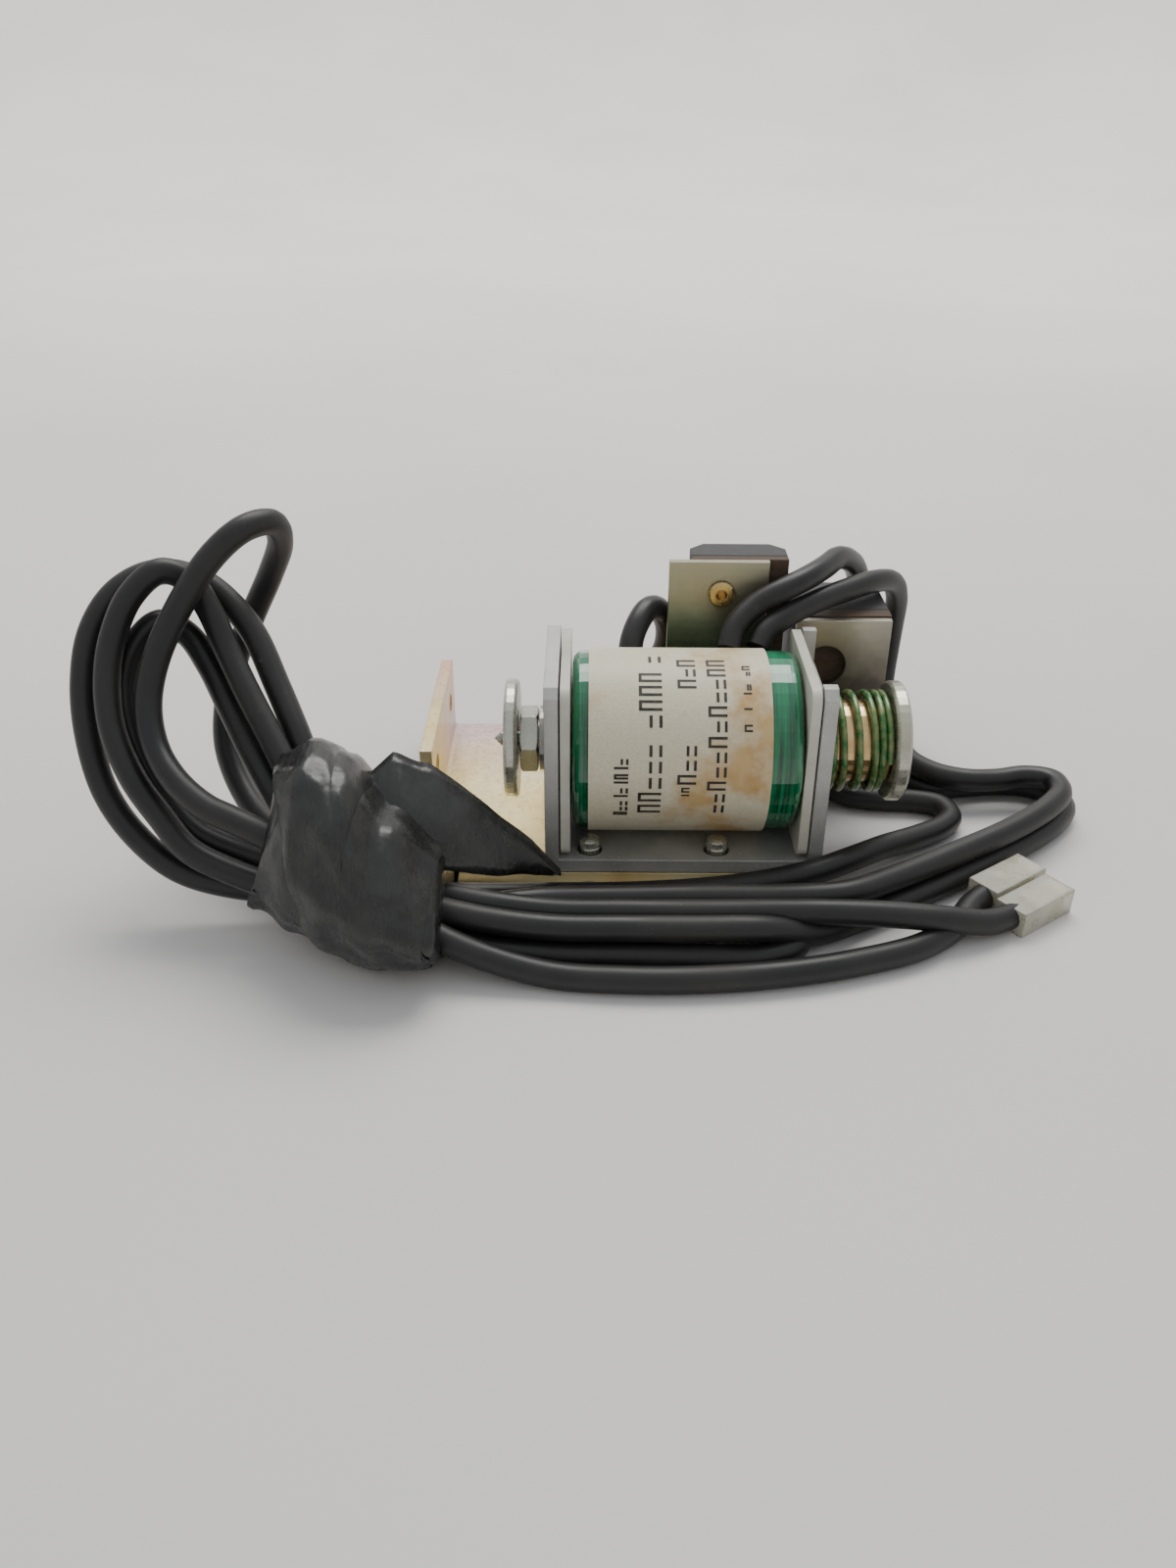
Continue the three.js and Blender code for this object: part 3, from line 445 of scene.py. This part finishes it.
def yellow_zinc():
    """Cream-yellow dichromate that turns pink and violet towards its back edge."""
    n = Nodes("yellow_zinc")
    slow = n.noise(34.0, 3.0, 0.6)
    fine = n.noise(1100.0, 4.0, 0.6)
    base = n.ramp(slow, [(0.30, (0.66, 0.48, 0.20)), (0.46, (0.80, 0.66, 0.33)), (0.60, (0.84, 0.74, 0.46)),
                         (0.74, (0.60, 0.62, 0.40))])
    pink = n.mix(n.spread(n.noise(48.0, 2.0, 0.5), 0.4, 0.65), (0.80, 0.44, 0.38), (0.55, 0.42, 0.62))
    far = n.spread(n.axis("Y"), place(0, 34, 0).y, place(0, 58, 0).y, 0.0, 0.65)
    n.colour(n.mix(far, base, pink))
    n.rough(n.spread(fine, 0.3, 0.7, 0.26, 0.42))
    n.normal(n.bump(fine, 0.2, 0.0001, under=n.soft_edges(0.0004)))
    n.set(Metallic=0.8)
    return n.material


def nylon():
    """Beige-grey nylon, slightly translucent."""
    n = Nodes("nylon")
    slow = n.noise(120.0, 3.0, 0.6)
    n.colour(n.mix(n.spread(slow, 0.3, 0.7), (0.52, 0.51, 0.42), (0.66, 0.65, 0.57)))
    n.rough(n.spread(slow, 0.3, 0.7, 0.36, 0.5))
    n.normal(n.bump(n.noise(700.0), 0.1, 0.0001, under=n.soft_edges(0.0003)))
    n.set(Subsurface_Weight=0.25, Subsurface_Radius=(0.002, 0.002, 0.0015))
    return n.material


def green_wrap():
    """Deep green glossy film with a painted highlight along its top, and the winding's turns showing through
    as fine lines.
    """
    n = Nodes("green_wrap")
    turns = n.noise(1.0, 2.0, 0.5, n.mapped((1500.0, 40.0, 40.0)))
    slow = n.noise(60.0, 2.0, 0.5)
    deep = n.mix(n.spread(turns, 0.42, 0.62), (0.0, 0.055, 0.020), (0.0, 0.20, 0.075))
    # Painted highlight: the wrap turns a paler green towards its top, by height.
    height = n.spread(n.axis("Z"), place(0, 0, AXIS_Z + 10).z, place(0, 0, AXIS_Z + 17).z, 0.0, 0.45)
    n.colour(n.mix(height, deep, (0.05, 0.36, 0.19)))
    n.rough(n.spread(slow, 0.3, 0.7, 0.1, 0.24))
    n.normal(n.bump(turns, 0.3, 0.0002, under=n.bump(slow, 0.3, 0.0006)))
    n.set(Coat_Weight=0.8, Coat_Roughness=0.05)
    return n.material


def label_paper():
    """Cream paper with ochre stains that gather towards its right side."""
    n = Nodes("label_paper")
    stain = n.noise(75.0, 4.0, 0.62)
    fibre = n.noise(2200.0, 3.0, 0.6)
    base = n.mix(n.spread(fibre, 0.35, 0.65), (0.66, 0.60, 0.43), (0.74, 0.69, 0.52))
    ochre = n.mix(n.spread(n.noise(230.0), 0.3, 0.7), (0.50, 0.27, 0.07), (0.60, 0.42, 0.18))
    right = n.spread(n.axis("X"), place(14, 0, 0).x, place(36, 0, 0).x, 0.0, 0.14)
    shifted = n.tree.nodes.new("ShaderNodeMath")
    shifted.operation = "ADD"
    n.link(stain, shifted.inputs[0])
    n.link(right, shifted.inputs[1])
    n.colour(n.mix(n.spread(shifted.outputs[0], 0.58, 0.74, 0.0, 0.9), base, ochre))
    n.rough(n.spread(fibre, 0.3, 0.7, 0.5, 0.7))
    n.normal(n.bump(n.noise(160.0), 0.25, 0.0004))
    n.set(Coat_Weight=0.25, Coat_Roughness=0.3)
    return n.material


def turned_metal(name, dark, light, rough, metallic=0.95, rings=2600.0):
    """Turned or drawn metal with fine rings across the plunger's line."""
    n = Nodes(name)
    lines = n.noise(1.0, 3.0, 0.6, n.mapped((rings, 30.0, 30.0)))
    slow = n.noise(90.0, 3.0, 0.6)
    n.colour(n.mix(n.spread(slow, 0.32, 0.68), dark, light))
    n.rough(n.spread(lines, 0.3, 0.7, *rough))
    n.normal(n.bump(lines, 0.25, 0.0001, under=n.soft_edges(0.0003)))
    n.set(Metallic=metallic)
    return n.material


def pole_plate(name, low, high, top):
    """Brushed, dull plate, with painted shade towards its foot and a painted highlight along its top edge."""
    n = Nodes(name)
    brush = n.noise(1.0, 4.0, 0.6, n.mapped((60.0, 60.0, 1500.0)))
    # Painted shade and highlight: the colour runs from the dark low tone at the foot to the pale high tone at
    # the top edge.
    rise = n.spread(n.axis("Z"), place(0, 0, 24).z, place(0, 0, top).z)
    slow = n.noise(90.0, 3.0, 0.6)
    tone = n.mix(rise, low, high)
    n.colour(n.mix(n.spread(slow, 0.5, 0.8, 0.0, 0.4), tone, (0.58, 0.54, 0.40)))
    n.rough(n.spread(brush, 0.3, 0.7, 0.3, 0.48))
    n.normal(n.bump(brush, 0.15, 0.0001, under=n.soft_edges(0.0004)))
    n.set(Metallic=0.8)
    return n.material


def matte(name, dark, light, rough=(0.6, 0.85), scale=400.0, depth=0.0003):
    """Ceramic or fibre: a dull, slightly pitted surface."""
    n = Nodes(name)
    fine = n.noise(scale, 5.0, 0.65)
    n.colour(n.mix(n.spread(fine, 0.3, 0.7), dark, light))
    n.rough(n.spread(fine, 0.3, 0.7, *rough))
    n.normal(n.bump(fine, 0.4, depth, under=n.soft_edges(0.0004)))
    return n.material


def clear_nylon():
    """Cloudy translucent nylon with a yellow cast."""
    n = Nodes("clear_nylon")
    cloud = n.noise(260.0, 4.0, 0.6)
    n.colour(n.mix(n.spread(cloud, 0.3, 0.7), (0.72, 0.69, 0.52), (0.86, 0.84, 0.74)))
    n.rough(n.spread(cloud, 0.3, 0.7, 0.22, 0.4))
    n.normal(n.bump(n.noise(420.0), 0.2, 0.0002, under=n.soft_edges(0.0005)))
    n.set(Transmission_Weight=0.5, IOR=1.5, Subsurface_Weight=0.15, Subsurface_Radius=(0.002, 0.002, 0.0016))
    return n.material


def node_materials():
    """The material of each CAD node, by the start of the node's name."""
    zinc = plated("zinc_frame", (0.40, 0.40, 0.375), (0.54, 0.54, 0.51), metallic=0.6, rough=(0.34, 0.55),
                  grain=2600.0, sparkle=0.7)
    bright = plated("bright_zinc", (0.42, 0.43, 0.37), (0.60, 0.60, 0.52), tint=(0.50, 0.48, 0.33),
                    rough=(0.22, 0.38))
    steel = turned_metal("turned_steel", (0.30, 0.29, 0.27), (0.46, 0.44, 0.40), (0.22, 0.4))
    brass = turned_metal("brass", (0.50, 0.36, 0.14), (0.72, 0.56, 0.26), (0.2, 0.36))
    gold = turned_metal("gold_zinc", (0.52, 0.36, 0.17), (0.86, 0.62, 0.32), (0.16, 0.3))
    copper = turned_metal("magnet_wire", (0.30, 0.12, 0.04), (0.55, 0.26, 0.10), (0.2, 0.35))
    ferrite = matte("ferrite", (0.045, 0.045, 0.048), (0.085, 0.083, 0.082))
    fibre = matte("brown_fibre", (0.055, 0.036, 0.024), (0.11, 0.072, 0.045), scale=900.0)
    # Each pole plate's two tones are its painted shade at the foot and its painted highlight at the top edge.
    tall_plate = pole_plate("tall_plate", (0.15, 0.14, 0.085), (0.42, 0.40, 0.29), TALL_TOP)
    short_plate = pole_plate("short_plate", (0.17, 0.15, 0.12), (0.44, 0.41, 0.35), SHORT_TOP)
    return {
        "mounting_bracket": yellow_zinc(),
        "solenoid_frame": zinc,
        "frame_screw": bright,
        "coil_bobbin": nylon(),
        "coil_winding": copper,
        "coil_outer_wrap": green_wrap(),
        "coil_label": label_paper(),
        "plunger_guide_tube": brass,
        "fixed_core": steel,
        "core_lock_washer": steel,
        "core_hex_nut": bright,
        "push_rod": steel,
        "stop_disc": bright,
        "plunger": gold,
        "head_disc": bright,
        "tall_front_pole_plate": tall_plate,
        "short_front_pole_plate": short_plate,
        "tall_insulating_spacer": fibre,
        "short_insulating_spacer": fibre,
        "tall_magnet_block": ferrite,
        "short_magnet_block": ferrite,
        "tall_rear_pole_plate": zinc,
        "short_rear_pole_plate": zinc,
        "tall_tubular_rivet": brass,
        "short_tubular_rivet": brass,
        "foot_rivet": bright,
        "terminal_sleeve": clear_nylon(),
        "terminal_contact": brass,
    }


def paint_nodes():
    by_start = node_materials()
    for name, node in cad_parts.items():
        starts = [start for start in by_start if name == start or name.startswith(f"{start}_")]
        if not starts:
            continue
        node.data.materials.clear()
        node.data.materials.append(by_start[max(starts, key=len)])


paint_nodes()


# ---- return spring ----
def spring_line():
    """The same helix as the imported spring: closed turns at both ends and open turns between them."""
    turns = SPRING["left_turns"] + SPRING["open_turns"] + SPRING["right_turns"]
    closed = (SPRING["left_turns"] + SPRING["right_turns"]) * SPRING["closed_pitch"]
    open_pitch = (SPRING["right"] - SPRING["left"] - closed) / SPRING["open_turns"]
    line = []
    steps = round(turns * SPRING["steps"])
    for i in range(steps + 1):
        turn = turns * i / steps
        opened = min(max(turn - SPRING["left_turns"], 0), SPRING["open_turns"])
        x = SPRING["left"] + (turn - opened) * SPRING["closed_pitch"] + opened * open_pitch
        angle = math.pi + (turn - turns) * math.tau
        y = AXIS_Y + SPRING["radius"] * math.cos(angle)
        z = AXIS_Z + SPRING["radius"] * math.sin(angle)
        line.append(place(x, y, z))
    return line


def spring_enamel():
    """Green enamel worn to olive in places."""
    n = Nodes("spring_enamel")
    worn = n.noise(500.0, 3.0, 0.6)
    n.colour(n.mix(n.spread(worn, 0.4, 0.66), (0.035, 0.15, 0.035), (0.22, 0.26, 0.10)))
    n.rough(n.spread(worn, 0.3, 0.7, 0.22, 0.4))
    n.set(Metallic=0.25, Coat_Weight=0.4)
    return n.material


def as_mesh(piece):
    bpy.context.view_layer.objects.active = piece
    piece.select_set(True)
    bpy.ops.object.convert(target="MESH")
    converted = bpy.context.object
    converted.select_set(False)
    return converted


def return_spring():
    """Round wire on the spring's helix."""
    wire = tube("spring_wire", spring_line(), SPRING["wire"] * MM, spring_enamel(), SPRING["resolution"])
    piece = as_mesh(wire)
    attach(piece, ROOT)
    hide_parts("return_spring")
    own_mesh(piece)


return_spring()


# ---- meshes made here ----
def mesh_piece(name, vertices, faces, material):
    data = bpy.data.meshes.new(name)
    data.from_pydata([tuple(v) for v in vertices], [], faces)
    data.update()
    data.materials.append(material)
    data.polygons.foreach_set("use_smooth", [True] * len(data.polygons))
    piece = bpy.data.objects.new(name, data)
    bpy.context.scene.collection.objects.link(piece)
    return piece


def grid_faces(rows, columns, closed):
    """Quads between rows of points, wrapping round each row where the rows are closed."""
    last = columns if closed else columns - 1
    faces = []
    for row in range(rows - 1):
        here = row * columns
        above = here + columns
        for column in range(last):
            after = (column + 1) % columns
            faces.append((here + column, here + after, above + after, above + column))
    return faces


# ---- the label's print: plain strokes in place of its lettering ----
def label_point(x, degrees):
    """A point just off the label, at x along it and an angle from the top towards the front."""
    angle = math.radians(degrees)
    radius = LABEL_RADIUS + PRINT["lift"]
    return place(x, AXIS_Y - radius * math.sin(angle), AXIS_Z + radius * math.cos(angle))


def strokes(column, angle, long):
    """The strokes of one plain mark, as x and angle ranges: a bar, a bracket or two lines side by side."""
    x = column["x"]
    end_x = x + column["width"]
    stroke = column["stroke"]
    stroke_angle = math.degrees(stroke / LABEL_RADIUS)
    kind = random.choice(column["kinds"])
    first_bar = (x, end_x, angle, angle + stroke_angle)
    if kind == "bar":
        return [first_bar]
    if kind == "block":
        last_bar = (x, end_x, angle + long - stroke_angle, angle + long)
        return [first_bar, last_bar, (x, x + stroke, angle, angle + long)]
    second_x = x + column["width"] * PRINT["second_stroke"]
    return [(end_x - stroke, end_x, angle, angle + long), (second_x, second_x + stroke, angle, angle + long)]


def add_stroke(vertices, faces, x0, x1, from_angle, to_angle):
    """A strip that follows the label's curve."""
    steps = max(2, math.ceil((to_angle - from_angle) / PRINT["arc_step"]))
    first = len(vertices)
    for i in range(steps + 1):
        angle = from_angle + (to_angle - from_angle) * i / steps
        vertices += [label_point(x0, angle), label_point(x1, angle)]
    for i in range(steps):
        corner = first + 2 * i
        faces.append((corner, corner + 1, corner + 3, corner + 2))


def label_ink():
    n = Nodes("label_ink")
    worn = n.noise(900.0, 3.0, 0.6)
    n.colour(n.mix(n.spread(worn, 0.35, 0.7), (0.012, 0.011, 0.010), (0.06, 0.05, 0.04)))
    n.rough(n.spread(worn, 0.3, 0.7, 0.5, 0.7))
    return n.material


def label_print():
    """Columns of plain marks that run down the label from its top."""
    random.seed(PRINT["seed"])
    vertices = []
    faces = []
    for column in PRINT["columns"]:
        angle = column["from"]
        while angle < column["to"]:
            long = random.uniform(*column["mark"])
            for stroke in strokes(column, angle, long):
                add_stroke(vertices, faces, *stroke)
            angle += long + column["gap"]
            if random.random() < column.get("breaks", 0.0):
                angle += column["mark"][1]
    piece = mesh_piece("label_print", vertices, faces, label_ink())
    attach(piece, ROOT)


label_print()


# ---- tape round the hank ----
def tape_section(x):
    """The lump's middle in Y and Z, its half width and its half height at x, in millimetres."""
    rows = TAPE["sections"]
    x = min(max(x, rows[0][0]), rows[-1][0])
    for low, high in zip(rows, rows[1:]):
        if x <= high[0]:
            t = (x - low[0]) / (high[0] - low[0])
            t = t * t * (3 - 2 * t)
            return [a + (b - a) * t for a, b in zip(low[1:], high[1:])]
    return list(rows[-1][1:])


def tape_point(x, angle, lift):
    """A point on the lump, with the strands' bulges and the tape's creases, lifted by the layers below it."""
    y, z, depth, height = tape_section(x)
    across = TAPE["lump_round"]
    lump = noise.noise(Vector((math.cos(angle) * across, math.sin(angle) * across, x * TAPE["lump_along"])))
    bulge = TAPE["bulge"] * math.sin(TAPE["strands"] * angle + x * TAPE["strand_twist"]) + TAPE["lumps"] * lump
    folds = Vector((x * TAPE["crease_along"], angle * TAPE["crease_round"], TAPE["crease_seed"]))
    out = lift + bulge - TAPE["crease"] * abs(noise.noise(folds))
    first = TAPE["sections"][0][0]
    last = TAPE["sections"][-1][0]
    share = 1 - (x - first) / (last - first)
    slant = TAPE["slant"] * (z + height * math.sin(angle) - TAPE["slant_from"])
    top = z + (height + out) * math.sin(angle)
    return place(x + slant * share, y + (depth + out) * math.cos(angle), max(top, TAPE["bottom"]))


def tape_lump(material):
    """The closed lump under the bands, drawn in at both ends."""
    first = TAPE["sections"][0][0]
    last = TAPE["sections"][-1][0]
    sides = TAPE["sides"]
    rings = [(first, lift) for lift in TAPE["left_end"]]
    rings += [(first + (last - first) * i / TAPE["rings"], 0.0) for i in range(1, TAPE["rings"])]
    rings += [(last, lift) for lift in TAPE["right_end"]]
    vertices = [tape_point(x, math.tau * k / sides, lift) for x, lift in rings for k in range(sides)]
    faces = grid_faces(len(rings), sides, closed=True)
    end = (len(rings) - 1) * sides
    faces.append(tuple(reversed(range(sides))))
    faces.append(tuple(range(end, end + sides)))
    return mesh_piece("tape_lump", vertices, faces, material)


def tape_band(index, band, material):
    """One turn of tape round the lump, its edges tucked down onto the layer below."""
    vertices = []
    for i in range(TAPE["turn_steps"] + 1):
        angle = band["start"] + (math.tau + TAPE["overlap"]) * i / TAPE["turn_steps"]
        middle = band["x"] + band["tilt"] * math.sin(angle + band["phase"])
        edge_noise = noise.noise(Vector((angle * TAPE["ragged_scale"], index * TAPE["ragged_seed"], 0.0)))
        middle += TAPE["ragged"] * edge_noise
        for j in range(TAPE["across"] + 1):
            side = 2 * j / TAPE["across"] - 1
            drop = TAPE["edge_drop"] if abs(side) == 1 else 0.0
            pushed = min(max(side * TAPE["edge_push"], -1.0), 1.0)
            vertices.append(tape_point(middle + pushed * band["width"] / 2, angle, band["lift"] - drop))
    faces = grid_faces(TAPE["turn_steps"] + 1, TAPE["across"] + 1, closed=False)
    return mesh_piece(f"tape_band_{index + 1}", vertices, faces, material)


def black_tape():
    """Glossy black tape with faint stretched lines, greyish where the light catches it."""
    n = Nodes("black_tape")
    lines = n.noise(1.0, 3.0, 0.6, n.mapped((900.0, 90.0, 90.0)))
    slow = n.noise(110.0, 3.0, 0.6)
    n.colour(n.mix(n.spread(slow, 0.35, 0.7), (0.010, 0.010, 0.010), (0.026, 0.028, 0.026)))
    n.rough(n.spread(lines, 0.3, 0.7, 0.2, 0.36))
    n.normal(n.bump(lines, 0.12, 0.0002, under=n.bump(slow, 0.5, 0.0009)))
    n.set(Specular_IOR_Level=0.6)
    return n.material


def along_edge(points, along):
    """The point at a fractional index along a list of points."""
    k = min(int(along), len(points) - 2)
    return Vector(points[k]).lerp(Vector(points[k + 1]), along - k)


def tape_flap(material):
    """The tape's loose end: a curved tongue from the lump to the frame's foot."""
    vertices = []
    for i in range(FLAP["steps"] + 1):
        along = i / FLAP["steps"] * (len(FLAP["top"]) - 1)
        upper = along_edge(FLAP["top"], along)
        lower = along_edge(FLAP["low"], along)
        for j in range(FLAP["across"] + 1):
            t = j / FLAP["across"]
            belly = FLAP["belly"] * math.sin(math.pi * t)
            ripple = Vector((along * FLAP["wave_along"], t * FLAP["wave_across"], FLAP["wave_seed"]))
            wave = FLAP["wave"] * noise.noise(ripple)
            point = upper.lerp(lower, t) + Vector((0.0, wave - belly, belly * FLAP["belly_rise"] + wave))
            vertices.append(place(*point))
    faces = grid_faces(FLAP["steps"] + 1, FLAP["across"] + 1, closed=False)
    piece = mesh_piece("tape_flap_sheet", vertices, faces, material)
    thicken(piece, FLAP["thickness"] * MM)
    return piece


def thicken(piece, thickness):
    """Turns an open sheet into a closed one of that thickness."""
    sheet = bmesh.new()
    sheet.from_mesh(piece.data)
    bmesh.ops.solidify(sheet, geom=sheet.faces[:], thickness=thickness)
    bmesh.ops.recalc_face_normals(sheet, faces=sheet.faces[:])
    sheet.to_mesh(piece.data)
    sheet.free()


def tape():
    """Makes the lump, its turns and its loose end, and gives back their names."""
    material = black_tape()
    lump = tape_lump(material)
    bands = [tape_band(i, band, material) for i, band in enumerate(TAPE["bands"])]
    flap = tape_flap(material)
    for piece in (lump, *bands, flap):
        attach(piece, ROOT)
    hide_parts("tape_wrap_left", "tape_wrap_right")
    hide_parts("tape_flap")
    return [piece.name for piece in (lump, *bands, flap)]


{"b": tape()}


# ---- floor and light ----
def floor():
    """A pale floor that turns up into a wall all round, with no edge or horizon in it."""
    sides = FLOOR["sides"]
    profile = [(FLOOR["flat"] * i / FLOOR["flat_steps"], 0.0) for i in range(1, FLOOR["flat_steps"] + 1)]
    for i in range(1, FLOOR["turn_steps"] + 1):
        angle = math.pi / 2 * i / FLOOR["turn_steps"]
        radius = FLOOR["flat"] + FLOOR["rise"] * math.sin(angle)
        profile.append((radius, FLOOR["rise"] * (1 - math.cos(angle))))
    vertices = []
    for radius, z in profile:
        for k in range(sides):
            angle = math.tau * k / sides
            vertices.append((radius * math.cos(angle), radius * math.sin(angle), z))
    faces = grid_faces(len(profile), sides, closed=True)
    faces.append(tuple(reversed(range(sides))))
    piece = mesh_piece("floor", vertices, faces, floor_material())
    piece.data.flip_normals()


def floor_material():
    """Pale, slightly cloudy paint with a few dark specks."""
    n = Nodes("floor")
    cloud = n.noise(5.0, 3.0, 0.5)
    speck = n.noise(190.0, 2.0, 0.5)
    base = n.mix(n.spread(cloud, 0.3, 0.7), (0.70, 0.68, 0.665), (0.755, 0.735, 0.72))
    n.colour(n.mix(n.spread(speck, 0.80, 0.84, 0.0, 0.7), base, (0.22, 0.21, 0.19)))
    n.rough(n.spread(cloud, 0.3, 0.7, 0.5, 0.62))
    n.normal(n.bump(n.noise(520.0), 0.06, 0.0004))
    return n.material


def area_light(name, place_at, aim, size, energy, colour):
    data = bpy.data.lights.new(name, "AREA")
    data.shape = "RECTANGLE"
    data.size, data.size_y = size
    data.energy = energy
    data.color = colour
    light = bpy.data.objects.new(name, data)
    light.location = place_at
    light.rotation_euler = (Vector(aim) - Vector(place_at)).to_track_quat("-Z", "Y").to_euler()
    bpy.context.scene.collection.objects.link(light)


def lights():
    for row in LIGHTS:
        area_light(**row)
    world = bpy.data.worlds.new("room")
    world.use_nodes = True
    background = world.node_tree.nodes["Background"]
    background.inputs["Color"].default_value = (*ROOM["colour"], 1.0)
    background.inputs["Strength"].default_value = ROOM["strength"]
    bpy.context.scene.world = world


floor()
lights()
